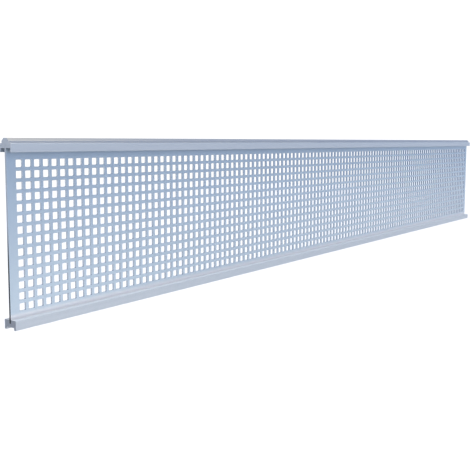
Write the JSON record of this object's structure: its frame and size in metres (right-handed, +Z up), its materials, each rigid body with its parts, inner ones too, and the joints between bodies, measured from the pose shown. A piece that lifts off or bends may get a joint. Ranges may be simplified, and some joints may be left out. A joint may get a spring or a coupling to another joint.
{
  "type": "perforated infill panel for a composite fence",
  "caption": "Long perforated aluminium fence panel with square holes, held between a tongued top rail and a grooved bottom rail that fit fence boards and posts.",
  "frame": {"origin": "middle of the flat seat inside the bottom rail's groove, where the tongue of the board below is met", "axes": "+X along the panel from its left end to its right end, +Y from its front to its back, +Z up towards the tongue"},
  "size_m": [1.795, 0.024, 0.2573],
  "materials": {
    "rail_aluminium": "satin blue-grey coat on extruded rails",
    "sheet_aluminium": "satin blue-grey coat on punched sheet"
  },
  "bodies": {
    "root": {"bottom_rail": "rail_aluminium", "top_rail": "rail_aluminium", "perforated_sheet_1": "sheet_aluminium", "perforated_sheet_2": "sheet_aluminium", "perforated_sheet_3": "sheet_aluminium", "perforated_sheet_4": "sheet_aluminium"}
  },
  "joints": []
}
